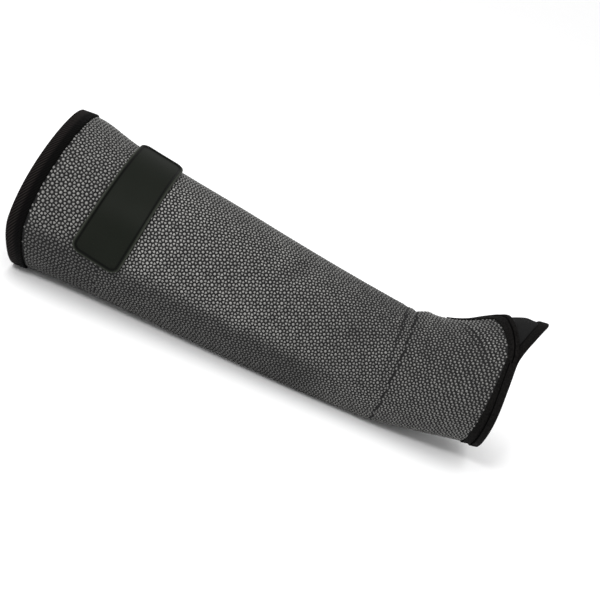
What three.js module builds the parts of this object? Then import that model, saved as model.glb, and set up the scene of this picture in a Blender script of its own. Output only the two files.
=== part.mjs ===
// A cut resistant work sleeve for the forearm, lying on its side: the wide upper arm end at -X,
// the wrist end at +X, in millimetres with +Z up and the origin under the middle of the forearm.
// Every piece is laid on one form surface. A place on that surface is a distance `along` from the
// arm end and an angle `turn` from the slit at the wrist, and a piece lies a little above or below.
import * as THREE from "three";

// Driving dimensions of the tube.
const forearmLength = 275.5;
const wristLength = 76.5;
const armHeight = 116;
const armWidth = 118;
const creaseHeight = 84.3;
const creaseWidth = 86;
const cuffHeight = 100.5;
const cuffWidth = 93;
const cuffRise = 16.8;
const archLift = 2.2;
const armLean = 7;
const leanLength = 90;
const rimBow = 3.3;
const bowFrom = 20;
const bowFull = 45;
const rimTuck = 5;
const tuckHeight = 34;
const tuckLength = 40;
const restAt = 150;

// How the tube lies: the slit rolled away from the top, and the underside flat where it rests.
const slitRoll = 20;
const restSink = 3.5;
const restSoftness = 2;

// Driving dimensions of the walls and of what is sewn to them.
const fabricThickness = 1.6;
const tapeThickness = 1;
const tapeRounding = 0.4;
const knitThickness = 1;
const clearance = 0.3;
const knitClearance = 0.6;
const armTapeWidth = 10.5;
const flapTapeWidth = 7;
const cuffTapeWidth = 5.5;
const gussetTapeWidth = 7;
const slitDepth = 47;
const tipReach = 10;
const gussetAngle = 76;
const cuffGap = 0.5;
const gussetStepBack = 16;
const gussetStepLength = 8;

// Driving dimensions of the rubber patch: patchEndLift is how far its upper end stands off, and
// patchBow how far its middle lies past its ends, as a straight strip does on a tapered arm.
const patchLength = 104;
const patchWidth = 36;
const patchThickness = 1.7;
const patchCorner = 7;
const patchBorder = 2.4;
const patchBorderHeight = 0.7;
const patchAlong = 65;
const patchTurn = 68;
const patchLean = -4.8;
const patchBow = 2.8;
const patchEndLift = 2.2;

// Sections of the forearm: `at` is a share of its length, `fullness` how far it is from the size at
// the crease to the size at the arm end, and `lift` a share of how far the tube arches up.
const forearmSections = [
  { at: -0.02, fullness: 0.97, lift: 0.35 },
  { at: 0, fullness: 0.98, lift: 0.4 },
  { at: 0.04, fullness: 0.99, lift: 0.6 },
  { at: 0.08, fullness: 0.94, lift: 0.8 },
  { at: 0.13, fullness: 0.83, lift: 0.95 },
  { at: 0.18, fullness: 0.74, lift: 1 },
  { at: 0.33, fullness: 0.6, lift: 0.75 },
  { at: 0.49, fullness: 0.47, lift: 0.25 },
  { at: 0.64, fullness: 0.34, lift: -0.35 },
  { at: 0.79, fullness: 0.2, lift: -0.55 },
  { at: 0.93, fullness: 0.05, lift: -0.1 },
  { at: 1, fullness: 0, lift: 0 },
];

// Sections of the wrist: `at` is a share of its length, `rise` of the rise of the cuff, `gain` of
// the gain in height from the crease to the cuff, and `spread` of the gain in width.
const wristSections = [
  { at: 0, rise: 0, gain: 0, spread: 0 },
  { at: 0.08, rise: 0.09, gain: 0.02, spread: 0.05 },
  { at: 0.21, rise: 0.22, gain: -0.03, spread: 0.15 },
  { at: 0.32, rise: 0.34, gain: -0.03, spread: 0.3 },
  { at: 0.46, rise: 0.48, gain: 0.12, spread: 0.5 },
  { at: 0.6, rise: 0.62, gain: 0.45, spread: 0.7 },
  { at: 0.74, rise: 0.76, gain: 0.78, spread: 0.85 },
  { at: 0.88, rise: 0.88, gain: 0.99, spread: 0.95 },
  { at: 1, rise: 1, gain: 1.02, spread: 1 },
  { at: 1.15, rise: 1.12, gain: 1, spread: 1 },
];

// Lines round the wrist by the angle from the slit: `edge` is how far the guard fabric stays back
// from the rim as a share of the slit's depth, `tape` the width of the tape on that edge along the
// sleeve as a share of its own width, and `rim` how far the rim reaches as a share of the tip.
const wristLines = [
  { turn: 0, edge: 1, tape: 1.2, rim: 1 },
  { turn: 4, edge: 0.87, tape: 1.6, rim: 0.97 },
  { turn: 9, edge: 0.64, tape: 2.1, rim: 0.92 },
  { turn: 14, edge: 0.48, tape: 1.85, rim: 0.85 },
  { turn: 20, edge: 0.41, tape: 1.3, rim: 0.74 },
  { turn: 31, edge: 0.357, tape: 1.1, rim: 0.5 },
  { turn: 45, edge: 0.28, tape: 1, rim: 0.15 },
  { turn: 58, edge: 0.213, tape: 0.87, rim: -0.2 },
  { turn: 70, edge: 0.166, tape: 0.78, rim: -0.45 },
  { turn: 80, edge: 0.16, tape: 0.74, rim: -0.5 },
  { turn: 100, edge: 0.13, tape: 0.9, rim: -0.5 },
  { turn: 120, edge: 0.092, tape: 1.05, rim: -0.5 },
  { turn: 140, edge: 0.07, tape: 1.18, rim: -0.5 },
  { turn: 180, edge: 0.056, tape: 1.3, rim: -0.5 },
];

// Folds near the wrist: each runs straight between two places, `fromAt` and `toAt` as shares of the
// wrist's length past the crease, and is `height` high, or deep where that is negative, as a share
// of foldHeight, with `spread` as a share of foldSpread.
const foldHeight = 2.4;
const foldSpread = 4;
const folds = [
  { fromAt: -0.1, fromTurn: -10, toAt: -0.08, toTurn: 105, height: -0.45, spread: 0.5 },
  { fromAt: 0.1, fromTurn: -30, toAt: 0.12, toTurn: 60, height: 0.35, spread: 0.9 },
  { fromAt: 0.34, fromTurn: 14, toAt: 0.68, toTurn: 76, height: -0.4, spread: 0.5 },
  { fromAt: 0.42, fromTurn: 22, toAt: 0.78, toTurn: 74, height: 0.6, spread: 1.5 },
  { fromAt: 0.37, fromTurn: -24, toAt: 0.6, toTurn: -64, height: 0.6, spread: 1.6 },
];
const foldEndHeight = 0.12;
const seamDepth = 1.2;
const seamSpread = 2;

// How finely the pieces are faceted round the arm, round the wrist, and round part of the wrist.
const armSides = 44;
const wristSides = 52;
const wristCloseness = 0.4;
const cuffSides = 28;
const gussetSides = 24;

const rimAlong = forearmLength + wristLength;

// A smooth curve through one column of a table, straight past its ends.
function columnAt(rows, key, column, value) {
  let last = 1;
  while (last < rows.length - 1 && rows[last][key] < value) last += 1;
  const from = rows[last - 1];
  const to = rows[last];
  const before = rows[Math.max(last - 2, 0)];
  const after = rows[Math.min(last + 1, rows.length - 1)];
  const span = to[key] - from[key];
  const share = (value - from[key]) / span;
  const startSlope = (to[column] - before[column]) / (to[key] - before[key]);
  const endSlope = (after[column] - from[column]) / (after[key] - from[key]);
  if (share < 0) return from[column] + startSlope * (value - from[key]);
  if (share > 1) return to[column] + endSlope * (value - to[key]);
  const square = share * share;
  const cube = square * share;
  return (
    (2 * cube - 3 * square + 1) * from[column] +
    (cube - 2 * square + share) * span * startSlope +
    (3 * square - 2 * cube) * to[column] +
    (cube - square) * span * endSlope
  );
}

// The lowest point of the round section at a distance along the sleeve, its height and its width.
function sectionAt(along) {
  if (along <= forearmLength) {
    const at = along / forearmLength;
    const fullness = columnAt(forearmSections, "at", "fullness", at);
    return {
      under: archLift * columnAt(forearmSections, "at", "lift", at) - restSink,
      height: creaseHeight + fullness * (armHeight - creaseHeight),
      width: creaseWidth + fullness * (armWidth - creaseWidth),
    };
  }
  const at = (along - forearmLength) / wristLength;
  return {
    under: cuffRise * columnAt(wristSections, "at", "rise", at) - restSink,
    height: creaseHeight + columnAt(wristSections, "at", "gain", at) * (cuffHeight - creaseHeight),
    width: creaseWidth + columnAt(wristSections, "at", "spread", at) * (cuffWidth - creaseWidth),
  };
}

function bump(distance, spread) {
  return Math.exp(-((distance / spread) ** 2));
}

// How far the folds and the seam's valley move the surface out from the plain tube.
function reliefAt(along, turn) {
  const side = turn > 180 ? turn - 360 : turn;
  const arc = (Math.PI / 180) * (creaseHeight / 2);
  let relief = -seamDepth * bump(along - forearmLength, seamSpread);
  for (const fold of folds) {
    const start = new THREE.Vector2(forearmLength + fold.fromAt * wristLength, fold.fromTurn * arc);
    const end = new THREE.Vector2(forearmLength + fold.toAt * wristLength, fold.toTurn * arc);
    const line = end.clone().sub(start);
    const here = new THREE.Vector2(along, side * arc).sub(start);
    const share = THREE.MathUtils.clamp(here.dot(line) / line.lengthSq(), 0, 1);
    const fade = Math.sin(Math.PI * (foldEndHeight + (1 - 2 * foldEndHeight) * share));
    const distance = here.sub(line.multiplyScalar(share)).length();
    relief += fold.height * foldHeight * fade * bump(distance, fold.spread * foldSpread);
  }
  return relief;
}

// The higher of a level and the floor, rounded where they meet and flat below. Near the arm end the
// tape folded round the fabric is what rests, so the fabric stays its thickness above the floor.
function restOnFloor(level, along) {
  const past = THREE.MathUtils.smoothstep(along, armTapeWidth, 2.5 * armTapeWidth);
  const floor = (clearance + tapeThickness) * (1 - past);
  const blend = Math.max(restSoftness - Math.abs(level - floor), 0);
  return Math.max(level, floor) + (blend * blend) / (4 * restSoftness);
}

// A point of the form surface, which is the outside of the guard fabric.
function formPoint(along, turn) {
  const { under, height, width } = sectionAt(along);
  const angle = THREE.MathUtils.degToRad(90 + slitRoll - turn);
  const relief = reliefAt(along, turn);
  const level = under + height / 2 + (height / 2 + relief) * Math.sin(angle);
  const leaning = 1 - THREE.MathUtils.smoothstep(along, 0, leanLength);
  const upShare = THREE.MathUtils.clamp(level / armHeight, 0, 1);
  const bowShare = THREE.MathUtils.smoothstep(level, bowFrom, bowFull) * Math.sin(Math.PI * upShare);
  const lean = leaning * (armLean * (level / armHeight) - rimBow * bowShare);
  const nearRim = 1 - THREE.MathUtils.smoothstep(along, 0, tuckLength);
  const tuck = rimTuck * nearRim * (1 - THREE.MathUtils.smoothstep(level, 0, tuckHeight));
  return new THREE.Vector3(
    along - restAt + lean + tuck,
    -(width / 2 + relief) * Math.cos(angle),
    restOnFloor(level, along),
  );
}

// A point at a height above the form surface, or below it where the height is negative.
function surfacePoint(along, turn, above) {
  const step = 0.5;
  const degrees = 1;
  const lengthways = formPoint(along + step, turn).sub(formPoint(along - step, turn));
  const round = formPoint(along, turn + degrees).sub(formPoint(along, turn - degrees));
  const outward = round.cross(lengthways).normalize();
  return formPoint(along, turn).addScaledVector(outward, above);
}

// Two triangles for a face with four corners, split across its shorter diagonal.
function splitFace(points, [a, b, c, d]) {
  const isShortAcross = points[a].distanceTo(points[c]) < points[b].distanceTo(points[d]);
  return isShortAcross ? [a, b, c, a, c, d] : [a, b, d, b, c, d];
}

// A row of closed outlines with as many points each, joined one to the next into a closed body. The
// outlines go round so that it faces out, and a row that isn't a ring gets two end faces.
function joinOutlines(outlines, placeAt, isRing) {
  const count = outlines[0].length;
  const points = outlines.flatMap((outline, row) => outline.map(([x, y]) => placeAt(row, x, y)));
  const faces = [];
  const gaps = isRing ? outlines.length : outlines.length - 1;
  for (let row = 0; row < gaps; row += 1) {
    const here = row * count;
    const beside = ((row + 1) % outlines.length) * count;
    for (let index = 0; index < count; index += 1) {
      const next = (index + 1) % count;
      const corners = [here + index, beside + index, beside + next, here + next];
      faces.push(...splitFace(points, corners));
    }
  }
  const addEndFace = (row, isLast) => {
    const flat = outlines[row].map(([x, y]) => new THREE.Vector2(x, y));
    for (const triangle of THREE.ShapeUtils.triangulateShape(flat, [])) {
      const corners = triangle.map((index) => index + row * count);
      faces.push(...(isLast ? corners : corners.reverse()));
    }
  };
  if (!isRing) {
    addEndFace(0, false);
    addEndFace(outlines.length - 1, true);
  }
  const geometry = new THREE.BufferGeometry().setFromPoints(points);
  geometry.setIndex(faces);
  geometry.computeVertexNormals();
  return geometry;
}

// An outline of [along, above] points, swept over the surface through a list of angles.
function sweepOver(turns, outlineAt, isRing) {
  const placeAt = (row, along, above) => surfacePoint(along, turns[row], above);
  return joinOutlines(turns.map(outlineAt), placeAt, isRing);
}

function steps(from, to, count) {
  return Array.from({ length: count + 1 }, (_, index) => from + ((to - from) * index) / count);
}

// Angles for a whole ring, closer together round the slit than underneath.
function ringTurns(count, closeness) {
  return Array.from({ length: count }, (_, index) => {
    const share = (2 * index) / count - 1;
    return 180 * (share - (closeness * Math.sin(Math.PI * share)) / Math.PI);
  });
}

// A wall between two heights over the surface, as an outline through the given places along it.
function wallOutline(places, top, bottom) {
  const topAt = typeof top === "function" ? top : () => top;
  const bottomAt = typeof bottom === "function" ? bottom : () => bottom;
  const upper = places.map((along) => [along, topAt(along)]);
  const lower = places.map((along) => [along, bottomAt(along)]).reverse();
  return [...upper, ...lower];
}

// Tape folded over an edge: two legs and a rounded fold round a layer that ends at `edge` and lies
// between two heights. `inner` and `outer` are where the legs start, and `way` is 1 where the edge
// is at the layer's far end and -1 at its near end.
function foldedTape(edge, outer, inner, top, bottom, way) {
  const upper = top + clearance;
  const lower = bottom - clearance;
  const fold = edge + way * clearance;
  const round = tapeRounding * tapeThickness;
  const outline = [
    [outer, upper],
    [outer, upper + tapeThickness],
    [(outer + fold) / 2, upper + tapeThickness],
    [fold + way * (tapeThickness - round), upper + tapeThickness],
    [fold + way * tapeThickness, upper + tapeThickness - round],
    [fold + way * tapeThickness, lower - tapeThickness + round],
    [fold + way * (tapeThickness - round), lower - tapeThickness],
    [(inner + fold) / 2, lower - tapeThickness],
    [inner, lower - tapeThickness],
    [inner, lower],
    [(inner + fold) / 2, lower],
    [fold, lower],
    [fold, upper],
    [(outer + fold) / 2, upper],
  ];
  return way > 0 ? outline : outline.reverse();
}

function lineAt(turn, column) {
  const side = Math.abs(turn > 180 ? turn - 360 : turn);
  return columnAt(wristLines, "turn", column, side);
}

// Where the rim, the edge of the guard fabric and the near side of its tape lie at an angle.
function rimAt(turn) {
  return rimAlong + tipReach * lineAt(turn, "rim");
}

function fabricEdgeAt(turn) {
  return rimAlong - slitDepth * lineAt(turn, "edge");
}

function flapTapeStartAt(turn) {
  return fabricEdgeAt(turn) - flapTapeWidth * lineAt(turn, "tape");
}

const fabricMaterial = new THREE.MeshStandardMaterial({ color: 0x6f6e6a, roughness: 0.75 });
const tapeMaterial = new THREE.MeshStandardMaterial({ color: 0x17171a, roughness: 0.85 });
const knitMaterial = new THREE.MeshStandardMaterial({ color: 0x38393c, roughness: 0.9 });
const rubberMaterial = new THREE.MeshStandardMaterial({ color: 0x23261f, roughness: 0.55 });

// The forearm's guard fabric, a tapered tube from the arm end to the seam at the crease.
function makeForearmPanel() {
  const seamEdge = forearmLength - clearance / 2;
  const nearSeam = [0.04, 0.025, 0.0135, 0.006].map((share) => seamEdge - share * forearmLength);
  const underTape = [0, armTapeWidth / 2];
  const places = [...underTape, ...steps(armTapeWidth, forearmLength * 0.94, 13), ...nearSeam, seamEdge];
  const outline = wallOutline(places, 0, -fabricThickness);
  return new THREE.Mesh(sweepOver(ringTurns(armSides, 0), () => outline, true), fabricMaterial);
}

// The wrist's guard fabric, from the seam to an edge that runs back along both sides of the slit.
function makeWristPanel() {
  const seamEdge = forearmLength + clearance / 2;
  const shares = [0, 0.03, 0.07, 0.14, 0.25, 0.38, 0.54, 0.7, 0.85, 1];
  const outlineAt = (turn) => {
    const edge = fabricEdgeAt(turn);
    const tapeStart = flapTapeStartAt(turn);
    const bare = shares.map((share) => seamEdge + share * (tapeStart - seamEdge));
    return wallOutline([...bare, (tapeStart + edge) / 2, edge], 0, -fabricThickness);
  };
  return new THREE.Mesh(sweepOver(ringTurns(wristSides, wristCloseness), outlineAt, true), fabricMaterial);
}

// Woven tape folded over the arm end.
function makeArmBinding() {
  const outline = foldedTape(0, armTapeWidth, armTapeWidth, 0, -fabricThickness, -1);
  return new THREE.Mesh(sweepOver(ringTurns(armSides, 0), () => outline, true), tapeMaterial);
}

// Tape folded over the whole edge of the wrist's guard fabric, down both sides of the slit.
function makeFlapBinding() {
  const outlineAt = (turn) => {
    const start = flapTapeStartAt(turn);
    return foldedTape(fabricEdgeAt(turn), start, start, 0, -fabricThickness, 1);
  };
  return new THREE.Mesh(sweepOver(ringTurns(wristSides, wristCloseness), outlineAt, true), tapeMaterial);
}

// A second tape over the first, round the cuff from one side of the slit's gusset to the other.
function makeCuffBinding() {
  const layer = clearance + tapeThickness;
  const first = gussetAngle + cuffGap;
  const outlineAt = (turn) => {
    const edge = fabricEdgeAt(turn) + layer;
    const start = edge + layer - cuffTapeWidth;
    return foldedTape(edge, start, start, layer, -fabricThickness - layer, 1);
  };
  const turns = steps(first, 360 - first, cuffSides);
  return new THREE.Mesh(sweepOver(turns, outlineAt, false), tapeMaterial);
}

// How far below the form surface the gusset's outside lies: right under the flap's tape, and lower
// at the rim, where its own tape passes under the flap.
const gussetTop = -(fabricThickness + tapeThickness + clearance + knitClearance);
const gussetRimTop = gussetTop - tapeThickness - clearance;

// Stretch knit that fills the slit from below and reaches past the rim to a tip.
function makeGusset() {
  const shares = [0, 0.2, 0.4, 0.6, 0.75, 0.88, 1];
  const outlineAt = (turn) => {
    const start = flapTapeStartAt(turn) + clearance;
    const edge = rimAt(turn) - clearance - tapeThickness;
    const places = shares.map((share) => start + share * (edge - start));
    const stepStart = edge - gussetStepBack;
    const topAt = (along) => {
      const past = THREE.MathUtils.smoothstep(along, stepStart, stepStart + gussetStepLength);
      return gussetTop + (gussetRimTop - gussetTop) * (start > stepStart ? 1 : past);
    };
    return wallOutline(places, topAt, (along) => topAt(along) - knitThickness);
  };
  const turns = steps(-gussetAngle, gussetAngle, gussetSides);
  return new THREE.Mesh(sweepOver(turns, outlineAt, false), knitMaterial);
}

// Tape folded over the gusset's free edge.
function makeGussetBinding() {
  const outlineAt = (turn) => {
    const edge = rimAt(turn) - clearance - tapeThickness;
    const start = rimAt(turn) - gussetTapeWidth;
    return foldedTape(edge, start, start, gussetRimTop, gussetRimTop - knitThickness, 1);
  };
  const turns = steps(-gussetAngle, gussetAngle, gussetSides);
  return new THREE.Mesh(sweepOver(turns, outlineAt, false), tapeMaterial);
}

// A point over the patch's own plane: `up` runs towards the slit and `over` towards the wrist.
function patchPoint(up, over, above) {
  const lean = THREE.MathUtils.degToRad(patchLean);
  const bow = patchBow * (1 - ((2 * up) / patchLength) ** 2);
  const along = patchAlong + bow + over * Math.cos(lean) - up * Math.sin(lean);
  const arc = up * Math.cos(lean) + over * Math.sin(lean);
  const turn = patchTurn - THREE.MathUtils.radToDeg((2 * arc) / sectionAt(along).height);
  const lift = patchEndLift * Math.max(up / (patchLength / 2), 0) ** 4;
  return surfacePoint(along, turn, clearance + lift + above);
}

// Places across half of the patch, from its middle to its outline, that follow its raised border.
function patchPlaces(half, count) {
  const border = [1, 0.7, 0.25, 0].map((share) => half - share * patchBorder);
  return [...steps(0, half - patchBorder, count).slice(0, -1), ...border];
}

// Half of the patch's width at a distance from its middle, with round corners.
function patchHalfWidth(up) {
  const past = Math.max(Math.abs(up) - (patchLength / 2 - patchCorner), 0);
  return patchWidth / 2 - patchCorner + Math.sqrt(patchCorner ** 2 - past ** 2);
}

// How thick the patch is at a distance in from its outline: its border stands above its face.
function patchHeight(inset) {
  const crest = patchThickness + patchBorderHeight;
  if (inset < 0.2 * patchBorder) return crest - patchBorderHeight / 2;
  return inset < 0.8 * patchBorder ? crest : patchThickness;
}

// A curved rubber patch with a raised border round a bare recessed face.
function makePatch() {
  const half = patchPlaces(patchLength / 2, 7);
  const rows = [...[...half].reverse(), ...half.slice(1).map((up) => -up)];
  const outlines = rows.map((up) => {
    const side = patchPlaces(patchHalfWidth(up), 2);
    const across = [...side.slice(1).map((over) => -over).reverse(), ...side];
    const heightAt = (over) =>
      patchHeight(Math.min(patchLength / 2 - Math.abs(up), patchHalfWidth(up) - Math.abs(over)));
    return wallOutline(across, heightAt, 0);
  });
  const placeAt = (row, over, above) => patchPoint(rows[row], over, above);
  return new THREE.Mesh(joinOutlines(outlines, placeAt, false), rubberMaterial);
}

const makers = {
  forearm_panel: makeForearmPanel,
  wrist_panel: makeWristPanel,
  arm_binding: makeArmBinding,
  flap_binding: makeFlapBinding,
  cuff_binding: makeCuffBinding,
  wrist_gusset: makeGusset,
  gusset_binding: makeGussetBinding,
  patch: makePatch,
};

const sleeve = new THREE.Group();
for (const [name, make] of Object.entries(makers)) {
  const mesh = make();
  mesh.name = name;
  sleeve.add(mesh);
}

export default sleeve;
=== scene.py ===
import math

import bpy
import numpy as np
from mathutils import Matrix, Vector
from mathutils.kdtree import KDTree


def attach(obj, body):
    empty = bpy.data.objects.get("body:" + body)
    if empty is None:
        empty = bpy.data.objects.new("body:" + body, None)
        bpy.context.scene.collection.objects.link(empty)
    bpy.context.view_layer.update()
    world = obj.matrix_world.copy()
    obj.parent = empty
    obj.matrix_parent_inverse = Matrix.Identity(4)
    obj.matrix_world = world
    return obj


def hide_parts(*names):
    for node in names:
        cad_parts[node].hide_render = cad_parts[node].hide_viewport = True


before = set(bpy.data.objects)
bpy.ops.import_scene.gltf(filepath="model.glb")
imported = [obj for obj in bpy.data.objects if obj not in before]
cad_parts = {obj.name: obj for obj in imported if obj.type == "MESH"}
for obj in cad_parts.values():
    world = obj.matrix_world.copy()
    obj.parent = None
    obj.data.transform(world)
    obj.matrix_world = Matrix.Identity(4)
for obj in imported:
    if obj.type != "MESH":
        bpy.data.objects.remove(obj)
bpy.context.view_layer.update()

# The studio: a camera a little above the table looks square at the sleeve's side and is rolled, so
# the sleeve runs down from left to right in the picture. A pale floor takes its soft shadow, and a
# broad light over it, a smaller one in front and the white room light it.
camera_elevation = math.radians(20)
camera_roll = math.radians(24.25)
camera_distance = 0.95
camera_target = Vector((0.0475, 0, 0.0548))
camera_data = bpy.data.cameras.new("camera")
camera_data.sensor_width = 36
camera_data.lens = 81.43
camera_data.clip_start = 0.05
camera_data.clip_end = 200
camera = bpy.data.objects.new("camera", camera_data)
bpy.context.collection.objects.link(camera)
look = Vector((0, math.cos(camera_elevation), -math.sin(camera_elevation)))
level_right = Vector((1, 0, 0))
level_up = Vector((0, math.sin(camera_elevation), math.cos(camera_elevation)))
camera_right = math.cos(camera_roll) * level_right + math.sin(camera_roll) * level_up
camera_up = -math.sin(camera_roll) * level_right + math.cos(camera_roll) * level_up
camera_turn = Matrix((camera_right, camera_up, -look)).transposed()
camera.matrix_world = Matrix.Translation(camera_target - camera_distance * look) @ camera_turn.to_4x4()
bpy.context.scene.camera = camera
bpy.context.scene.view_settings.view_transform = "Standard"


def add_node(tree, kind, inputs=None, **settings):
    """Adds a node, sets its settings, and sets or links its inputs by name or number."""
    node = tree.nodes.new(kind)
    for name, value in settings.items():
        setattr(node, name, value)
    for name, value in (inputs or {}).items():
        if isinstance(value, bpy.types.NodeSocket):
            tree.links.new(value, node.inputs[name])
        else:
            node.inputs[name].default_value = value
    return node


def new_material(name, **inputs):
    """A material with a Principled shader, and the node tree that finishes it."""
    material = bpy.data.materials.new(name)
    material.use_nodes = True
    tree = material.node_tree
    tree.nodes.clear()
    shader = add_node(tree, "ShaderNodeBsdfPrincipled")
    for socket, value in inputs.items():
        shader.inputs[socket.replace("_", " ")].default_value = value
    add_node(tree, "ShaderNodeOutputMaterial", {"Surface": shader.outputs[0]})
    return material, tree, shader


def noise_at(tree, scale, detail):
    """Noise on the object's own coordinates, scale times to the metre."""
    place = add_node(tree, "ShaderNodeTexCoord").outputs["Object"]
    inputs = {"Vector": place, "Scale": scale, "Detail": detail}
    return add_node(tree, "ShaderNodeTexNoise", inputs).outputs[0]


def mix_colours(tree, share, first, second):
    """The first colour where the share is 0, and the second where it is 1."""
    inputs = {"Factor": share, "A": first, "B": second}
    return add_node(tree, "ShaderNodeMix", inputs, data_type="RGBA").outputs["Result"]


floor_material, tree, shader = new_material("pale_floor", Roughness=0.75)
floor_grain = noise_at(tree, 3.0, 2.0)
floor_colour = mix_colours(tree, floor_grain, (0.965, 0.965, 0.97, 1), (0.985, 0.985, 0.985, 1))
tree.links.new(floor_colour, shader.inputs["Base Color"])
half_floor = 30
floor_mesh = bpy.data.meshes.new("floor")
floor_corners = [(-half_floor, -half_floor, 0), (half_floor, -half_floor, 0)]
floor_corners += [(half_floor, half_floor, 0), (-half_floor, half_floor, 0)]
floor_mesh.from_pydata(floor_corners, [], [(0, 1, 2, 3)])
floor_mesh.materials.append(floor_material)
floor = bpy.data.objects.new("floor", floor_mesh)
bpy.context.collection.objects.link(floor)

world = bpy.data.worlds.new("studio")
bpy.context.scene.world = world
world.use_nodes = True
world.node_tree.nodes["Background"].inputs["Color"].default_value = (1, 1, 1, 1)
world.node_tree.nodes["Background"].inputs["Strength"].default_value = 1.0
lights = [
    {"name": "overhead", "at": (-0.1, -0.35, 1.5), "size": 1.2, "watts": 6},
    {"name": "front_left", "at": (-0.45, -1.25, 1.2), "size": 0.35, "watts": 13},
]
for light in lights:
    light_data = bpy.data.lights.new(light["name"], "AREA")
    light_data.size = light["size"]
    light_data.energy = light["watts"]
    lamp = bpy.data.objects.new(light["name"], light_data)
    lamp.location = light["at"]
    lamp.rotation_euler = (camera_target - lamp.location).to_track_quat("-Z", "Y").to_euler()
    bpy.context.collection.objects.link(lamp)

# The forearm panel: guard fabric, a dark woven ground printed all over with hard resin dots, cut as
# a cone and sewn into a tube. All the cloth lies on this one form of an arm. A place on it is a
# distance from the arm end and an angle from the slit at the wrist, which grows towards the camera.
forearm_length = 0.2755
wrist_length = 0.0765
arm_height = 0.116
arm_width = 0.118
crease_height = 0.0843
crease_width = 0.086
cuff_height = 0.1005
cuff_width = 0.093
cuff_rise = 0.0168
arch_lift = 0.0022
# The arm end leans in at its top, bows out above the height bow_from and is tucked in underneath.
arm_lean = 0.007
lean_length = 0.090
rim_bow = 0.0033
bow_from = 0.020
bow_full = 0.045
rim_tuck = 0.005
tuck_height = 0.034
tuck_length = 0.040
rest_at = 0.150
slit_roll = 20
rest_sink = 0.0035
rest_softness = 0.002
fabric_thickness = 0.0016
tape_thickness = 0.001
clearance = 0.0003
arm_tape_width = 0.0105
dot_height = 0.00045

forearm_sections = {
    "at": [-0.02, 0, 0.04, 0.08, 0.13, 0.18, 0.33, 0.49, 0.64, 0.79, 0.93, 1],
    "fullness": [0.97, 0.98, 0.99, 0.94, 0.83, 0.74, 0.6, 0.47, 0.34, 0.2, 0.05, 0],
    "lift": [0.35, 0.4, 0.6, 0.8, 0.95, 1, 0.75, 0.25, -0.35, -0.55, -0.1, 0],
}
wrist_sections = {
    "at": [0, 0.08, 0.21, 0.32, 0.46, 0.6, 0.74, 0.88, 1, 1.15],
    "rise": [0, 0.09, 0.22, 0.34, 0.48, 0.62, 0.76, 0.88, 1, 1.12],
    "gain": [0, 0.02, -0.03, -0.03, 0.12, 0.45, 0.78, 0.99, 1.02, 1],
    "spread": [0, 0.05, 0.15, 0.3, 0.5, 0.7, 0.85, 0.95, 1, 1],
}
# Folds run straight between two places: at is a share of the wrist's length past the crease, turn is
# in degrees, and height and spread are in metres.
folds = [
    {"at": (-0.1, -0.08), "turn": (-10, 105), "height": -0.0009, "spread": 0.002},
    {"at": (0.1, 0.12), "turn": (-30, 60), "height": 0.0009, "spread": 0.0036},
    {"at": (0.34, 0.68), "turn": (14, 76), "height": -0.0011, "spread": 0.002},
    {"at": (0.42, 0.78), "turn": (22, 74), "height": 0.00144, "spread": 0.006},
    {"at": (0.37, 0.6), "turn": (-24, -64), "height": 0.00144, "spread": 0.0064},
    {"at": (0.07, 0.26), "turn": (47, 79), "height": -0.0008, "spread": 0.0045},
    {"at": (-0.16, -0.1), "turn": (36, 50), "height": 0.0007, "spread": 0.005},
    {"at": (-0.22, -0.1), "turn": (94, 72), "height": 0.0008, "spread": 0.005},
    {"at": (-0.55, -0.35), "turn": (82, 76), "height": -0.0008, "spread": 0.007},
    {"at": (-1.24, -1.04), "turn": (64, 35), "height": -0.0009, "spread": 0.005},
    {"at": (-1.45, -1.3), "turn": (26, 42), "height": 0.0008, "spread": 0.006},
]
fold_end_height = 0.12
seam_depth = 0.0006
seam_spread = 0.0016


def column_at(table, key, column, value):
    """A smooth curve through one column of a table, straight past its ends."""
    keys, rows = np.array(table[key], float), np.array(table[column], float)
    value = np.asarray(value, float)
    last = np.clip(np.searchsorted(keys, value), 1, len(keys) - 1)
    first = last - 1
    before, after = np.maximum(first - 1, 0), np.minimum(last + 1, len(keys) - 1)
    span = keys[last] - keys[first]
    share = (value - keys[first]) / span
    start_slope = (rows[last] - rows[before]) / (keys[last] - keys[before])
    end_slope = (rows[after] - rows[first]) / (keys[after] - keys[first])
    square, cube = share**2, share**3
    curve = (
        (2 * cube - 3 * square + 1) * rows[first]
        + (cube - 2 * square + share) * span * start_slope
        + (3 * square - 2 * cube) * rows[last]
        + (cube - square) * span * end_slope
    )
    curve = np.where(share < 0, rows[first] + start_slope * (value - keys[first]), curve)
    return np.where(share > 1, rows[last] + end_slope * (value - keys[last]), curve)


def smooth_step(value, start, end):
    """A soft step from 0 at start to 1 at end."""
    share = np.clip((value - start) / (end - start), 0, 1)
    return share * share * (3 - 2 * share)


def section_at(along):
    """The lowest point of the round section at a distance along, its height and its width."""
    is_arm = along <= forearm_length
    arm = along / forearm_length
    wrist = (along - forearm_length) / wrist_length
    fullness = column_at(forearm_sections, "at", "fullness", arm)
    gain = column_at(wrist_sections, "at", "gain", wrist)
    spread = column_at(wrist_sections, "at", "spread", wrist)
    under = np.where(
        is_arm,
        arch_lift * column_at(forearm_sections, "at", "lift", arm),
        cuff_rise * column_at(wrist_sections, "at", "rise", wrist),
    )
    height = crease_height + np.where(
        is_arm, fullness * (arm_height - crease_height), gain * (cuff_height - crease_height)
    )
    width = crease_width + np.where(
        is_arm, fullness * (arm_width - crease_width), spread * (cuff_width - crease_width)
    )
    return under - rest_sink, height, width


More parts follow.
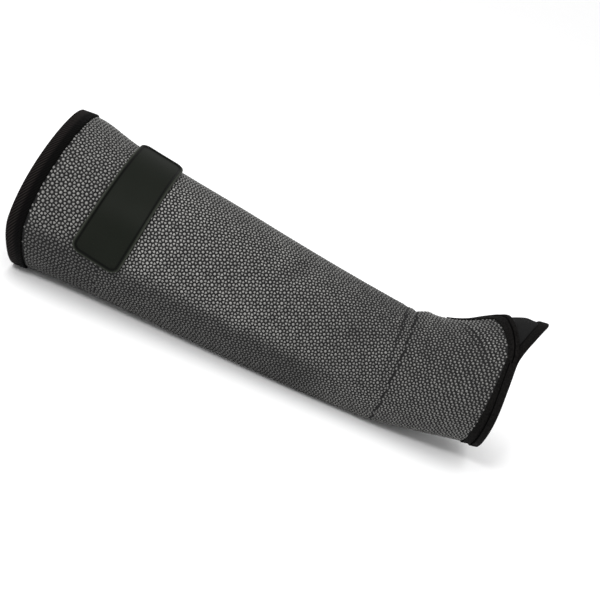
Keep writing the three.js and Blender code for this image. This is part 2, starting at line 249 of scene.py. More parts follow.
def relief_at(along, turn):
    """How far the folds and the seam's valley move the surface out from the plain tube."""
    side = np.where(turn > 180, turn - 360, turn)
    arc = math.radians(1) * crease_height / 2
    relief = -seam_depth * np.exp(-(((along - forearm_length) / seam_spread) ** 2))
    for fold in folds:
        start, end = (
            np.array([forearm_length + at * wrist_length, turn_ * arc])
            for at, turn_ in zip(fold["at"], fold["turn"])
        )
        line = end - start
        here = np.stack([along - start[0], side * arc - start[1]], -1)
        share = np.clip(here @ line / (line @ line), 0, 1)
        fade = np.sin(math.pi * (fold_end_height + (1 - 2 * fold_end_height) * share))
        distance = np.linalg.norm(here - share[..., None] * line, axis=-1)
        relief = relief + fold["height"] * fade * np.exp(-((distance / fold["spread"]) ** 2))
    return relief


def form_point(along, turn):
    """A point of the form surface: the tops of the dots lie on it."""
    under, height, width = section_at(along)
    angle = np.radians(90 + slit_roll - turn)
    relief = relief_at(along, turn)
    level = under + height / 2 + (height / 2 + relief) * np.sin(angle)
    leaning = 1 - smooth_step(along, 0, lean_length)
    up_share = np.clip(level / arm_height, 0, 1)
    bow = rim_bow * smooth_step(level, bow_from, bow_full) * np.sin(math.pi * up_share)
    near_rim = 1 - smooth_step(along, 0, tuck_length)
    tuck = rim_tuck * near_rim * (1 - smooth_step(level, 0, tuck_height))
    past_tape = smooth_step(along, arm_tape_width, 2.5 * arm_tape_width)
    ground = (clearance + tape_thickness) * (1 - past_tape)
    blend = np.maximum(rest_softness - np.abs(level - ground), 0)
    return np.stack([
        along - rest_at + leaning * (arm_lean * level / arm_height - bow) + tuck,
        -(width / 2 + relief) * np.cos(angle),
        np.maximum(level, ground) + blend**2 / (4 * rest_softness),
    ], -1)


def surface_frame(along, turn):
    """The form surface's point, and its directions lengthways, round and outward."""
    step = 0.0004
    degrees = 0.8
    along, turn = np.broadcast_arrays(np.asarray(along, float), np.asarray(turn, float))
    lengthways = form_point(along + step, turn) - form_point(along - step, turn)
    round_ = form_point(along, turn + degrees) - form_point(along, turn - degrees)
    outward = np.cross(round_, lengthways)
    unit = lambda vector: vector / np.linalg.norm(vector, axis=-1, keepdims=True)
    return form_point(along, turn), unit(lengthways), unit(round_), unit(outward)


def surface_point(along, turn, above):
    """A point at a height above the form surface."""
    point, _, _, outward = surface_frame(along, turn)
    return point + outward * np.asarray(above)[..., None]


def ring_turns(count, closeness=0.0):
    """Angles for a whole ring, closer together round the slit where closeness is above 0."""
    share = 2 * np.arange(count) / count - 1
    return 180 * (share - closeness * np.sin(math.pi * share) / math.pi)


crisp_turn = math.radians(40)


def sweep(name, points, material, is_ring):
    """Joins rows of closed outlines into one closed body, with a cloth map in metres.

    The map's U runs round the sleeve and its V along the outline from its first point."""
    rows, count = points.shape[:2]
    gaps = rows if is_ring else rows - 1
    here = np.arange(gaps)[:, None] * count
    beside = (np.arange(1, gaps + 1) % rows)[:, None] * count
    index = np.arange(count)[None, :]
    after = (index + 1) % count
    faces = np.stack([here + index, beside + index, beside + after, here + after], -1)
    faces = faces.reshape(-1, 4).tolist()
    if not is_ring:
        faces += [list(range(count)), [(rows - 1) * count + i for i in reversed(range(count))]]
    mesh = bpy.data.meshes.new(name)
    mesh.from_pydata(points.reshape(-1, 3).tolist(), [], faces)
    ring = np.concatenate([points, points[:1]]) if is_ring else points
    steps_round = np.linalg.norm(np.diff(ring, axis=0), axis=-1).mean(axis=1)
    u = np.concatenate([[0], np.cumsum(steps_round)])
    loop = np.concatenate([points, points[:, :1]], axis=1)
    steps_along = np.linalg.norm(np.diff(loop, axis=1), axis=-1).mean(axis=0)
    v = np.concatenate([[0], np.cumsum(steps_along)])
    row, column = np.broadcast_arrays(np.arange(gaps)[:, None], index)
    corner_u = np.stack([u[row], u[row + 1], u[row + 1], u[row]], -1)
    corner_v = np.stack([v[column], v[column], v[column + 1], v[column + 1]], -1)
    cloth = np.stack([corner_u, corner_v], -1).reshape(-1, 2)
    layer = mesh.uv_layers.new(name="cloth")
    flat = np.zeros((len(mesh.loops), 2))
    flat[: len(cloth)] = cloth
    layer.data.foreach_set("uv", flat.ravel())
    mesh.validate()
    mesh.materials.append(material)
    mesh.shade_smooth()
    mesh.set_sharp_from_angle(angle=crisp_turn)
    piece = bpy.data.objects.new(name, mesh)
    bpy.context.collection.objects.link(piece)
    return piece


def wall(places, top, bottom):
    """Rows of outlines for a wall: the places at one height, then back at the other."""
    along = np.concatenate([places, places[:, ::-1]], axis=1)
    top, bottom = (np.broadcast_to(height, places.shape) for height in (top, bottom))
    return along, np.concatenate([top, bottom[:, ::-1]], axis=1)


def cloth_axes(tree):
    """The two directions of the cloth map, in metres."""
    cloth_map = add_node(tree, "ShaderNodeUVMap", uv_map="cloth")
    axes = add_node(tree, "ShaderNodeSeparateXYZ", {0: cloth_map.outputs[0]})
    return axes.outputs["X"], axes.outputs["Y"]


def wave(tree, distance, pitch):
    """A sine wave along a distance in metres."""
    inputs = {0: distance, 1: 2 * math.pi / pitch}
    phase = add_node(tree, "ShaderNodeMath", inputs, operation="MULTIPLY")
    return add_node(tree, "ShaderNodeMath", {0: phase.outputs[0]}, operation="SINE").outputs[0]


def share_of(tree, height):
    """A wave's height from -1 to 1 as a share from 0 to 1."""
    inputs = {0: height, 1: 0.5, 2: 0.5}
    return add_node(tree, "ShaderNodeMath", inputs, operation="MULTIPLY_ADD").outputs[0]


def dress(tree, shader, colour, height, strength, depth):
    """Gives a shader its colour, and bumps whose depth in metres goes with a height from 0 to 1."""
    bump = add_node(tree, "ShaderNodeBump", {"Height": height, "Strength": strength, "Distance": depth})
    tree.links.new(colour, shader.inputs["Base Color"])
    tree.links.new(bump.outputs[0], shader.inputs["Normal"])


guard_cloth, tree, shader = new_material("guard_ground", Roughness=0.9, Specular_IOR_Level=0.15)
weave_pitch = 0.0009
warp, weft = cloth_axes(tree)
crossing = {0: wave(tree, warp, weave_pitch), 1: wave(tree, weft, weave_pitch)}
over_under = add_node(tree, "ShaderNodeMath", crossing, operation="MULTIPLY")
thread_share = share_of(tree, over_under.outputs[0])
thread = mix_colours(tree, thread_share, (0.0055, 0.0055, 0.006, 1), (0.016, 0.0155, 0.0155, 1))
dress(tree, shader, thread, thread_share, 0.6, 0.0002)

seam_gap = 0.00003
ring_rows = 168
forearm_places = 96
turns = ring_turns(ring_rows)
outer = np.linspace(0, forearm_length - seam_gap, forearm_places)
places = np.broadcast_to(outer, (len(turns), len(outer)))
along, above = wall(places, -dot_height, -fabric_thickness)
forearm_cloth = sweep("forearm_cloth", surface_point(along, turns[:, None], above), guard_cloth, True)
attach(forearm_cloth, "root")
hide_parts("forearm_panel")

# The guard dots: hard resin domes in a close repeat of one round dot and four smaller ones with
# three blunt corners, printed on the ground cloth. The cloth above the patch was cut on another slant.
dot_widths = {"round": 0.0023, "small": 0.002}
dot_pitch = 0.0055
dot_sink = 0.0001
dot_repeat = [
    {"at": (0, 0), "facing": (1, 0), "is_round": True},
    {"at": (0.5, 0.21), "facing": (0, 1), "is_round": False},
    {"at": (0.5, -0.21), "facing": (0, -1), "is_round": False},
    {"at": (0.21, 0.5), "facing": (1, 0), "is_round": False},
    {"at": (-0.21, 0.5), "facing": (-1, 0), "is_round": False},
]
round_sides = 8
small_sides = 6
size_variation = 0.08
size_seed = 7
corner_count = 3.0
corner_depth = 0.16
middle_turn = 90
least_dot_gap = 0.00135

dot_resin, tree, shader = new_material("guard_dot_resin", Roughness=0.27, IOR=1.5)


def stretched(tree, value, low, high):
    """A value's place between low and high, as a share from 0 to 1."""
    inputs = {"Value": value, "From Min": low, "From Max": high}
    return add_node(tree, "ShaderNodeMapRange", inputs).outputs[0]


def mark_of(tree, name):
    """A share that the mesh's points carry under a name."""
    return add_node(tree, "ShaderNodeAttribute", attribute_name=name).outputs["Fac"]


mottle = noise_at(tree, 260.0, 2.0)
broad = noise_at(tree, 14.0, 1.0)
broad_weight = 0.25
shade_inputs = {0: broad, 1: broad_weight, 2: mottle}
shade = add_node(tree, "ShaderNodeMath", shade_inputs, operation="MULTIPLY_ADD")
shade_share = stretched(tree, shade.outputs[0], 0.4, 0.85)
resin_colour = mix_colours(tree, shade_share, (0.135, 0.1335, 0.128, 1), (0.28, 0.277, 0.265, 1))
# The resin's colour is scaled by each dot's tone, which carries painted shade and painted highlight.
painted_light_inputs = {0: resin_colour, "Scale": mark_of(tree, "tone_and_painted_light")}
resin_with_painted_light = add_node(tree, "ShaderNodeVectorMath", painted_light_inputs, operation="SCALE")
tree.links.new(resin_with_painted_light.outputs["Vector"], shader.inputs["Base Color"])


def dot_tree():
    """Geometry nodes that stand a dome on every vertex, square to its outward direction."""
    tree = bpy.data.node_groups.new("guard_dots", "GeometryNodeTree")
    face = tree.interface
    face.new_socket("Geometry", in_out="INPUT", socket_type="NodeSocketGeometry")
    for name in ("Round width", "Small width", "Dot height", "Size variation", "Corner depth"):
        face.new_socket(name, in_out="INPUT", socket_type="NodeSocketFloat")
    face.new_socket("Material", in_out="INPUT", socket_type="NodeSocketMaterial")
    face.new_socket("Geometry", in_out="OUTPUT", socket_type="NodeSocketGeometry")
    given = add_node(tree, "NodeGroupInput").outputs
    least_across = 0.0001

    def math_node(operation, *values):
        return add_node(tree, "ShaderNodeMath", dict(enumerate(values)), operation=operation).outputs[0]

    def dome(sides, width, depth):
        """A cone whose rings are moved out into a round dome, with corners of a depth."""
        cone = add_node(
            tree, "GeometryNodeMeshCone",
            {"Vertices": sides, "Side Segments": 2, "Radius Top": 0.0, "Radius Bottom": 1.0, "Depth": 1.0},
            fill_type="NGON",
        )
        here = add_node(tree, "GeometryNodeInputPosition")
        parts = add_node(tree, "ShaderNodeSeparateXYZ", {0: here.outputs[0]}).outputs
        squares = [math_node("POWER", part, 2.0) for part in (parts[0], parts[1])]
        across = math_node("MAXIMUM", math_node("SQRT", math_node("ADD", *squares)), least_across)
        swell = math_node("POWER", across, -0.5)
        angle = math_node("ARCTAN2", parts[1], parts[0])
        corners = math_node("COSINE", math_node("MULTIPLY", angle, corner_count))
        swell = math_node("MULTIPLY", swell, math_node("MULTIPLY_ADD", corners, depth, 1.0))
        half = math_node("MULTIPLY", math_node("MULTIPLY", width, 0.5), swell)
        rise = math_node("MULTIPLY", math_node("SQRT", parts[2]), given["Dot height"])
        round_place = add_node(
            tree, "ShaderNodeCombineXYZ",
            {0: math_node("MULTIPLY", parts[0], half), 1: math_node("MULTIPLY", parts[1], half), 2: rise},
        )
        return add_node(
            tree, "GeometryNodeSetPosition",
            {"Geometry": cone.outputs["Mesh"], "Position": round_place.outputs[0]},
        ).outputs[0]

    def named(name, data_type):
        kind = "GeometryNodeInputNamedAttribute"
        return add_node(tree, kind, {"Name": name}, data_type=data_type).outputs[0]

    upright = add_node(
        tree, "FunctionNodeAlignRotationToVector", {"Vector": named("outward", "FLOAT_VECTOR")}, axis="Z"
    )
    facing = add_node(
        tree, "FunctionNodeAlignRotationToVector",
        {"Rotation": upright.outputs[0], "Vector": named("facing", "FLOAT_VECTOR")},
        axis="X", pivot_axis="Z",
    )
    least = math_node("SUBTRACT", 1.0, given["Size variation"])
    most = math_node("ADD", 1.0, given["Size variation"])
    chance = add_node(tree, "FunctionNodeRandomValue", {"Seed": size_seed}, data_type="FLOAT")
    tree.links.new(least, chance.inputs[2])
    tree.links.new(most, chance.inputs[3])
    size = math_node("MULTIPLY", chance.outputs[1], named("size", "FLOAT"))
    is_round = named("is_round", "BOOLEAN")
    is_small = add_node(tree, "FunctionNodeBooleanMath", {0: is_round}, operation="NOT").outputs[0]
    join = add_node(tree, "GeometryNodeJoinGeometry")
    for chosen, shape in (
        (is_round, dome(round_sides, given["Round width"], 0.0)),
        (is_small, dome(small_sides, given["Small width"], given["Corner depth"])),
    ):
        placed = add_node(
            tree, "GeometryNodeInstanceOnPoints",
            {"Points": given["Geometry"], "Selection": chosen, "Instance": shape,
             "Rotation": facing.outputs[0], "Scale": size},
        )
        tree.links.new(placed.outputs[0], join.inputs[0])
    real = add_node(tree, "GeometryNodeRealizeInstances", {"Geometry": join.outputs[0]})
    finished = add_node(
        tree, "GeometryNodeSetMaterial", {"Geometry": real.outputs[0], "Material": given["Material"]}
    )
    add_node(tree, "NodeGroupOutput", {"Geometry": finished.outputs[0]})
    return tree


guard_dots = dot_tree()


def apply_tree(name, points, attributes, tree, inputs):
    """Runs a tree on loose points with attributes and returns its result as a plain mesh object."""
    seeds = bpy.data.meshes.new(name + "_seeds")
    seeds.from_pydata(points.tolist(), [], [])
    for key, (kind, values) in attributes.items():
        field = "vector" if kind == "FLOAT_VECTOR" else "value"
        seeds.attributes.new(key, kind, "POINT").data.foreach_set(field, np.asarray(values).ravel())
    carrier = bpy.data.objects.new(name + "_seeds", seeds)
    bpy.context.collection.objects.link(carrier)
    modifier = carrier.modifiers.new("repeat", "NODES")
    modifier.node_group = tree
    for item in tree.interface.items_tree:
        if item.in_out == "INPUT" and item.name in inputs:
            modifier[item.identifier] = inputs[item.name]
    evaluated = carrier.evaluated_get(bpy.context.evaluated_depsgraph_get())
    mesh = bpy.data.meshes.new_from_object(evaluated)
    mesh.name = name
    bpy.data.objects.remove(carrier)
    mesh.shade_smooth()
    piece = bpy.data.objects.new(name, mesh)
    bpy.context.collection.objects.link(piece)
    return piece


station_count = 200
spare_cells = 3


def print_dots(start, end, slant, pitches, is_bare=None):
    """Places of the dots between two distances, in a repeat turned by its slant to the sleeve.

    pitches gives the repeat's size at both ends, and is_bare tells where no dots are printed."""
    stations = np.linspace(start, end, station_count)
    pitch = np.interp(stations, (start, end), pitches)
    run = np.concatenate([[0], np.cumsum(np.diff(stations) * 2 / (pitch[1:] + pitch[:-1]))])
    most = int(max(run[-1], math.pi * arm_width / (2 * min(pitches)))) + spare_cells
    reach = np.arange(-2 * most, 2 * most + 1)
    column, row = (grid.ravel() for grid in np.meshgrid(reach, reach))
    turn_by = np.array([[math.cos(slant), -math.sin(slant)], [math.sin(slant), math.cos(slant)]])
    found = {"along": [], "turn": [], "facing": [], "is_round": [], "size": []}
    for dot in dot_repeat:
        cell = np.stack([column + dot["at"][0], row + dot["at"][1]], -1) @ turn_by.T
        along = np.interp(cell[:, 0], run, stations, left=np.nan, right=np.nan)
        cell, along = cell[~np.isnan(along)], along[~np.isnan(along)]
        local = np.interp(along, (start, end), pitches)
        _, height, width = section_at(along)
        radius = (height + width) / 4
        turn = middle_turn + np.degrees(cell[:, 1] * local / radius)
        kept = np.abs(turn - middle_turn) < 180
        if is_bare is not None:
            kept &= ~is_bare(along, np.mod(turn, 360))
        found["along"].append(along[kept])
        found["turn"].append(turn[kept])
        found["facing"].append(np.broadcast_to(turn_by @ np.array(dot["facing"]), (kept.sum(), 2)))
        found["is_round"].append(np.full(kept.sum(), dot["is_round"]))
        found["size"].append(local[kept] / dot_pitch)
    dots = {key: np.concatenate(rows) for key, rows in found.items()}
    dots["turn"] = np.mod(dots["turn"], 360)
    return dots


def thin_out(*prints):
    """Joins prints that meet, and drops each dot that would touch one kept before it."""
    dots = {key: np.concatenate([part[key] for part in prints]) for key in prints[0]}
    places = form_point(dots["along"], dots["turn"])
    near = KDTree(len(places))
    for index, place in enumerate(places):
        near.insert(place, index)
    near.balance()
    kept = np.ones(len(places), bool)
    for index, place in enumerate(places):
        if kept[index]:
            for _, other, _ in near.find_range(place, least_dot_gap):
                if other > index:
                    kept[other] = False
    return {key: rows[kept] for key, rows in dots.items()}


# How pale the dots are along the sleeve, and the painted shade that darkens them underneath and on top.
lengthwise_tone = {"along": (0, 0.06, 0.07, 0.16, 0.25, 0.36), "share": (0.7, 0.7, 0.96, 0.84, 0.54, 0.44)}
underside_shade = {"from": (112, 128), "ends": (0.21, 0.26), "darkening": 0.68}
top_shade = {"until": (5, 60), "ends": (0.26, 0.3), "darkening": 0.48}
# Painted light on the folds: the dots are darker in the valleys and paler on the crests, within the limits.
fold_light_strength = 320
fold_limits = (0.5, 1.4)


def tone_and_light_at(along, turn):
    """How pale the dots are: their tone along the sleeve, with painted shade underneath, on top and in fold
    valleys, and painted highlight on fold crests.
    """
    side = np.minimum(turn, 360 - turn)
    lengthwise = np.interp(along, lengthwise_tone["along"], lengthwise_tone["share"])
    # Painted shade: darker underneath, and on top near the arm end.
    under = smooth_step(side, *underside_shade["from"]) * (1 - smooth_step(along, *underside_shade["ends"]))
    over = (1 - smooth_step(side, *top_shade["until"])) * (1 - smooth_step(along, *top_shade["ends"]))
    # Painted shade in the folds' valleys and painted highlight on their crests.
    folded = np.clip(1 + fold_light_strength * relief_at(along, turn), *fold_limits)
    return lengthwise * (1 - underside_shade["darkening"] * under) * (1 - top_shade["darkening"] * over) * folded


def raise_dots(name, dots, chosen):
    """Stands the chosen dots of a print on the cloth as one piece."""
    along, turn, facing, is_round, size = (dots[key][chosen] for key in dots)
    point, lengthways, round_, outward = surface_frame(along, turn)
    attributes = {
        "outward": ("FLOAT_VECTOR", outward),
        "facing": ("FLOAT_VECTOR", facing[:, :1] * lengthways + facing[:, 1:] * round_),
        "is_round": ("BOOLEAN", is_round),
        "size": ("FLOAT", size),
        "tone_and_painted_light": ("FLOAT", tone_and_light_at(along, turn)),
    }
    inputs = {
        "Round width": dot_widths["round"], "Small width": dot_widths["small"],
        "Dot height": dot_height + dot_sink, "Size variation": size_variation, "Corner depth": corner_depth,
        "Material": dot_resin,
    }
    piece = apply_tree(name, point - outward * (dot_height + dot_sink), attributes, guard_dots, inputs)
    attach(piece, "root")


patch_along = 0.065
tape_room = 0.0003
seam_room = 0.0001
upper_slant = math.radians(64)
upper_pitches = (0.0058, 0.0058)
lower_slant = math.radians(35.5)
lower_pitches = (0.0055, 0.00505)
above_patch = print_dots(arm_tape_width + tape_room, patch_along, upper_slant, upper_pitches)
below_patch = print_dots(patch_along, forearm_length - seam_room, lower_slant, lower_pitches)
forearm_dots = thin_out(above_patch, below_patch)
dots_split = 0.155
raise_dots("forearm_dots_upper", forearm_dots, forearm_dots["along"] < dots_split)
raise_dots("forearm_dots_lower", forearm_dots, forearm_dots["along"] >= dots_split)

# The wrist panel: the same guard fabric, sewn on at the crease, with a slit on top whose corners
# open as two flaps. Its edge runs back along both sides of the slit.
slit_depth = 0.047
flap_tape_width = 0.007
tip_reach = 0.010
rim_along = forearm_length + wrist_length
wrist_lines = {
    "turn": [0, 4, 9, 14, 20, 31, 45, 58, 70, 80, 100, 120, 140, 180],
    "edge": [1, 0.87, 0.64, 0.48, 0.41, 0.357, 0.28, 0.213, 0.166, 0.16, 0.13, 0.092, 0.07, 0.056],
    "tape": [1.2, 1.6, 2.1, 1.85, 1.3, 1.1, 1, 0.87, 0.78, 0.74, 0.9, 1.05, 1.18, 1.3],
    "rim": [1, 0.97, 0.92, 0.85, 0.74, 0.5, 0.15, -0.2, -0.45, -0.5, -0.5, -0.5, -0.5, -0.5],
}


def line_at(turn, column):
    """A line of the table at an angle, alike on both sides of the slit."""
    side = np.mod(turn, 360)
    return column_at(wrist_lines, "turn", column, np.minimum(side, 360 - side))


def fabric_edge_at(turn):
    return rim_along - slit_depth * line_at(turn, "edge")


def flap_tape_start_at(turn):
    return fabric_edge_at(turn) - flap_tape_width * line_at(turn, "tape")


slit_closeness = 0.5
wrist_rows = 200
wrist_places = 40
wrist_slant = math.radians(35)
wrist_pitches = (0.005, 0.005)
turns = ring_turns(wrist_rows, slit_closeness)
seam_edge = forearm_length + seam_gap
bare_lengths = flap_tape_start_at(turns)[:, None] - seam_edge
bare = seam_edge + np.linspace(0, 1, wrist_places) * bare_lengths
edge = fabric_edge_at(turns)[:, None]
places = np.concatenate([bare, (bare[:, -1:] + edge) / 2, edge], axis=1)
along, above = wall(places, -dot_height, -fabric_thickness)
wrist_cloth = sweep("wrist_cloth", surface_point(along, turns[:, None], above), guard_cloth, True)
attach(wrist_cloth, "root")
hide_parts("wrist_panel")
wrist_print = print_dots(
    forearm_length + seam_room, rim_along, wrist_slant, wrist_pitches,
    lambda along, turn: along > flap_tape_start_at(turn) - tape_room,
)
wrist_dots = thin_out(forearm_dots, wrist_print)
raise_dots("wrist_dots", wrist_dots, wrist_dots["along"] > forearm_length)

# The arm binding: black twill tape, folded over the raw edge of the upper arm end and sewn through.
# Its ribs slant across it, and painted shade darkens its edge beside the dots.
close_gap = 0.00005
arm_tape_top = clearance + tape_thickness

tape_twill, tree, shader = new_material("black_twill", Roughness=0.75, Specular_IOR_Level=0.03)
rib_pitch = 0.0016
rib_slant = math.radians(34)
round_tape, across_tape = cloth_axes(tree)
slant_inputs = {0: round_tape, 1: math.tan(rib_slant), 2: across_tape}
slanted = add_node(tree, "ShaderNodeMath", slant_inputs, operation="MULTIPLY_ADD")
rib_share = share_of(tree, wave(tree, slanted.outputs[0], rib_pitch / math.cos(rib_slant)))
rib_colour = mix_colours(tree, rib_share, (0.0012, 0.0011, 0.0011, 1), (0.0158, 0.0132, 0.0124, 1))
# Painted shade: near black where the outline's points are marked.
rib_colour = mix_colours(tree, mark_of(tree, "painted_shade"), rib_colour, (0.001, 0.001, 0.001, 1))
dress(tree, shader, rib_colour, rib_share, 1.0, 0.0005)

# The upper leg's points, as shares of its length, and how far the stitches pull each of them in.
upper_leg = [(0.2, 0), (0.4, 0), (0.6, 0), (0.66, 1), (0.73, 1), (0.79, 0), (0.9, 0)]
edge_softness = 0.35
fold_roundness = 0.7
fold_step = 15


def folded_tape(edge, outer, inner, top, bottom, way, thickness, groove=0.0):
    """Outlines of tape folded over an edge, with two legs and a round fold.

    outer and inner are where the legs start, and way is 1 where the edge is at the layer's far end
    and -1 at its near end. The layer lies between top and bottom, and the tape lies close on it.
    groove is how deep the stitches pull the upper leg in."""
    given = (np.atleast_1d(value) for value in (edge, outer, inner, top, bottom))
    edge, outer, inner, top, bottom = np.broadcast_arrays(*given)
    upper, lower = top + close_gap, bottom - close_gap
    fold = edge + way * clearance
    full = upper + thickness - (lower - thickness)
    soft = edge_softness * thickness
    outline = [(outer, upper), (outer, upper + thickness - soft), (outer + way * soft, upper + thickness)]
    for share, pull in upper_leg:
        outline.append((outer + share * (fold - outer), upper + thickness - pull * groove))
    middle = (upper + lower) / 2
    for degrees in range(90, -91, -fold_step):
        swing = math.radians(degrees)
        reach = tape_thickness * math.cos(swing) ** fold_roundness
        outline.append((fold + way * reach, middle + full / 2 * math.sin(swing)))
    outline += [((inner + fold) / 2, lower - thickness), (inner, lower - thickness), (inner, lower)]
    outline += [((inner + fold) / 2, lower), (fold, lower), (fold, upper), ((outer + fold) / 2, upper)]
    if way < 0:
        outline.reverse()
    along = np.stack([x for x, _ in outline], -1)
    above = np.stack([y for _, y in outline], -1)
    return along, above


def shade_tape(tape, outline_count, points, share):
    """Marks points of every outline with painted shade, which the tape's material makes darker."""
    painted_shade = np.zeros((len(tape.data.vertices) // outline_count, outline_count))
    painted_shade[:, points] = share
    tape.data.attributes.new("painted_shade", "FLOAT", "POINT").data.foreach_set("value", painted_shade.ravel())


# Points of a tape's outline that get painted shade: where a leg meets the cloth or tape beside it, and the
# stitch groove.
leg_start = slice(0, 3)
leg_start_reversed = slice(-5, None)
leg_groove = slice(6, 8)
arm_edge_shade = 0.9
turns = ring_turns(ring_rows)
along, above = folded_tape(
    0 * turns, arm_tape_width, arm_tape_width, -dot_height, -fabric_thickness, -1,
    arm_tape_top + dot_height - close_gap,
)
arm_binding = sweep("arm_tape", surface_point(along, turns[:, None], above), tape_twill, True)
shade_tape(arm_binding, along.shape[1], leg_start_reversed, arm_edge_shade)
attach(arm_binding, "root")
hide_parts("arm_binding")

# The flap binding: a smoother black tape in a narrower fold over the wrist panel's whole edge, eased
# round both corners of the slit. The cuff and the gusset have the same tape.
smooth_tape, tree, shader = new_material("black_tape", Roughness=0.75, Specular_IOR_Level=0.02)
cord_pitch = 0.0007
cord = wave(tree, cloth_axes(tree)[0], cord_pitch)
lint_share = stretched(tree, noise_at(tree, 900.0, 3.0), 0.35, 0.7)
tape_colour = mix_colours(tree, lint_share, (0.0028, 0.0026, 0.0025, 1), (0.0082, 0.0077, 0.0074, 1))
# Painted shade: near black where the outline's points are marked.
tape_colour = mix_colours(tree, mark_of(tree, "painted_shade"), tape_colour, (0.0002, 0.0002, 0.0002, 1))
dress(tree, shader, tape_colour, cord, 0.35, 0.0001)

flap_rows = 260
turns = ring_turns(flap_rows, slit_closeness)
start = flap_tape_start_at(turns)
flap_tape_thickness = 0.0009
stitch_groove = 0.0004
along, above = folded_tape(
    fabric_edge_at(turns), start, start, -dot_height, -fabric_thickness, 1, flap_tape_thickness,
    stitch_groove,
)
flap_binding = sweep("flap_tape", surface_point(along, turns[:, None], above), smooth_tape, True)
shade_tape(flap_binding, along.shape[1], leg_groove, 1)
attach(flap_binding, "root")
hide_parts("flap_binding")

# The cuff binding: a second tape over the first, round the cuff from one end of the gusset to the
# other.
gusset_angle = 76
cuff_gap = 0.5
cuff_tape_width = 0.0055
cuff_rows = 120
layer = clearance + tape_thickness
flap_tape_level = close_gap + flap_tape_thickness
turns = np.linspace(gusset_angle + cuff_gap, 360 - gusset_angle - cuff_gap, cuff_rows)
edge = fabric_edge_at(turns) + layer
start = edge + layer - cuff_tape_width
along, above = folded_tape(
    edge, start, start, -dot_height + flap_tape_level, -fabric_thickness - flap_tape_level, 1,
    flap_tape_thickness,
)
cuff_binding = sweep("cuff_tape", surface_point(along, turns[:, None], above), smooth_tape, False)
shade_tape(cuff_binding, along.shape[1], leg_start, 1)
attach(cuff_binding, "root")
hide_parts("cuff_binding")

# The wrist gusset: black stretch knit sewn under the slit, which lets the hand through. It reaches
# past the rim to a blunt tip and steps down where its own binding passes under the flaps.
knit_thickness = 0.001
knit_clearance = 0.0006
gusset_step_back = 0.016
gusset_step_length = 0.008
gusset_rows = 130
gusset_places = 36
gusset_top = -(fabric_thickness + tape_thickness + clearance + knit_clearance)
gusset_rim_top = gusset_top - tape_thickness - clearance

stretch_knit, tree, shader = new_material("stretch_knit", Roughness=0.85, Specular_IOR_Level=0.04)
wale_pitch = 0.0008
wale_share = share_of(tree, wave(tree, cloth_axes(tree)[0], wale_pitch))
knit_colour = mix_colours(tree, wale_share, (0.006, 0.006, 0.006, 1), (0.014, 0.014, 0.0142, 1))
dress(tree, shader, knit_colour, wale_share, 0.5, 0.0002)


def rim_at(turn):
    """How far the gusset reaches, its own tape included."""
    return rim_along + tip_reach * line_at(turn, "rim")


turns = np.linspace(-gusset_angle, gusset_angle, gusset_rows)
start = (flap_tape_start_at(turns) + clearance)[:, None]
edge = (rim_at(turns) - clearance - tape_thickness)[:, None]
places = start + np.linspace(0, 1, gusset_places) * (edge - start)
step_start = edge - gusset_step_back
past = smooth_step(places, step_start, step_start + gusset_step_length)
top = gusset_top + (gusset_rim_top - gusset_top) * np.where(start > step_start, 1, past)
along, above = wall(places, top, top - knit_thickness)
gusset = sweep("gusset_knit", surface_point(along, turns[:, None], above), stretch_knit, False)
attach(gusset, "root")
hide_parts("wrist_gusset")

# The gusset binding: the same smooth tape, folded over the gusset's free edge from end to end. Both
# its ends lie under the flaps.
gusset_tape_width = 0.007
turns = np.linspace(-gusset_angle, gusset_angle, gusset_rows)
edge = rim_at(turns) - clearance - tape_thickness
start = rim_at(turns) - gusset_tape_width
along, above = folded_tape(
    edge, start, start, gusset_rim_top, gusset_rim_top - knit_thickness, 1, tape_thickness
)
gusset_binding = sweep("gusset_tape", surface_point(along, turns[:, None], above), smooth_tape, False)
shade_tape(gusset_binding, along.shape[1], leg_start, 1)
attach(gusset_binding, "root")
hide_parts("gusset_binding")

# The patch: moulded olive-black rubber with a raised border round a bare face, bent round the arm
# and fixed over the dots. Its upper end stands off a little.
patch_length = 0.104
patch_width = 0.036
patch_thickness = 0.0017
patch_corner = 0.007
patch_border_height = 0.0007
patch_turn = 68
patch_lean = math.radians(-4.8)
patch_end_lift = 0.0022
patch_lift_power = 4
patch_bow = 0.0028
patch_gap = 0.0001

patch_rubber, tree, shader = new_material("patch_rubber", Roughness=0.5, Specular_IOR_Level=0.06)
dust = noise_at(tree, 40.0, 6.0)
skin = noise_at(tree, 2500.0, 2.0)
rubber_colour = mix_colours(tree, dust, (0.0040, 0.0052, 0.0034, 1), (0.0066, 0.0080, 0.0055, 1))
# Painted highlight along the border's crest, and painted shade in the groove inside it.
rubber_colour = mix_colours(tree, mark_of(tree, "painted_highlight"), rubber_colour, (0.030, 0.033, 0.026, 1))
rubber_colour = mix_colours(tree, mark_of(tree, "painted_shade"), rubber_colour, (0.0008, 0.001, 0.0007, 1))
dress(tree, shader, rubber_colour, skin, 0.25, 0.0001)


def patch_point(up, over, above):
    """A point over the patch's own plane: up runs towards the slit and over towards the wrist."""
    bow = patch_bow * (1 - (2 * up / patch_length) ** 2)
    along = patch_along + bow + over * math.cos(patch_lean) - up * math.sin(patch_lean)
    arc = up * math.cos(patch_lean) + over * math.sin(patch_lean)
    turn = patch_turn - np.degrees(2 * arc / section_at(along)[1])
    lift = patch_end_lift * np.maximum(up / (patch_length / 2), 0) ** patch_lift_power
    return surface_point(along, turn, lift + above + patch_gap)


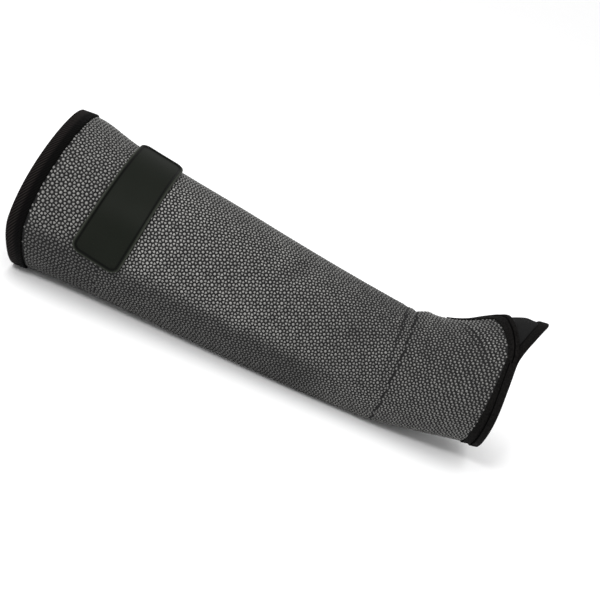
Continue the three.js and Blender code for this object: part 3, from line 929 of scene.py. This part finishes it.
def patch_inset(up, over):
    """How far in from the patch's outline a place is, round its corners too."""
    past_up = np.abs(up) - (patch_length / 2 - patch_corner)
    past_over = np.abs(over) - (patch_width / 2 - patch_corner)
    corner = patch_corner - np.hypot(np.maximum(past_up, 0), np.maximum(past_over, 0))
    straight = np.minimum(patch_length / 2 - np.abs(up), patch_width / 2 - np.abs(over))
    return np.where((past_up > 0) & (past_over > 0), corner, straight)


crest = patch_thickness + patch_border_height
face_share = patch_thickness / crest
border_profile = {
    "inset": [0, 0.00008, 0.0003, 0.0006, 0.0018, 0.0022, 0.0026, 0.0034],
    "height": [0.45, 0.75, 0.94, 1, 1, 0.86, 0.73, face_share],
}
# Painted light on the border, by inset: a painted highlight on its crest and painted shade in its groove.
border_tones = {
    "inset": [0, 0.0005, 0.001, 0.0013, 0.0017, 0.0021, 0.0029, 0.0034],
    "painted_highlight": [0.7, 0.9, 0.4, 0.1, 0, 0, 0, 0],
    "painted_shade": [0, 0, 0, 0, 0.1, 0.95, 0.95, 0],
}
side_insets = np.array([0, 0.0001, 0.0003, 0.0006, 0.001, 0.0014, 0.0018, 0.0022, 0.0026, 0.003, 0.0036])
end_insets = np.concatenate([side_insets, [0.0045, 0.0055, 0.007]])
face_start = 0.009
face_rows = 26
face_places = 7
half_up = patch_length / 2
ups = np.concatenate([half_up - end_insets, np.linspace(half_up - face_start, 0, face_rows)])
ups = np.concatenate([ups, -ups[-2::-1]])
past = np.maximum(np.abs(ups) - (half_up - patch_corner), 0)
half_over = patch_width / 2 - patch_corner + np.sqrt(patch_corner**2 - past**2)
side_places = np.concatenate([
    half_over[:, None] - side_insets,
    (half_over[:, None] - side_insets[-1]) * np.linspace(1, 0, face_places)[1:],
], axis=1)
across = np.concatenate([-side_places, side_places[:, -2::-1]], axis=1)
insets = patch_inset(ups[:, None], across)
face_height = crest * np.interp(insets, border_profile["inset"], border_profile["height"])
over = np.concatenate([across, across[:, ::-1]], axis=1)
above = np.concatenate([face_height, 0 * across], axis=1)
patch = sweep("rubber_patch", patch_point(ups[:, None], over, above), patch_rubber, False)
for tone in ("painted_highlight", "painted_shade"):
    shares = np.interp(insets, border_tones["inset"], border_tones[tone])
    shares = np.concatenate([shares, 0 * shares], axis=1)
    patch.data.attributes.new(tone, "FLOAT", "POINT").data.foreach_set("value", shares.ravel())
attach(patch, "root")
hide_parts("patch")
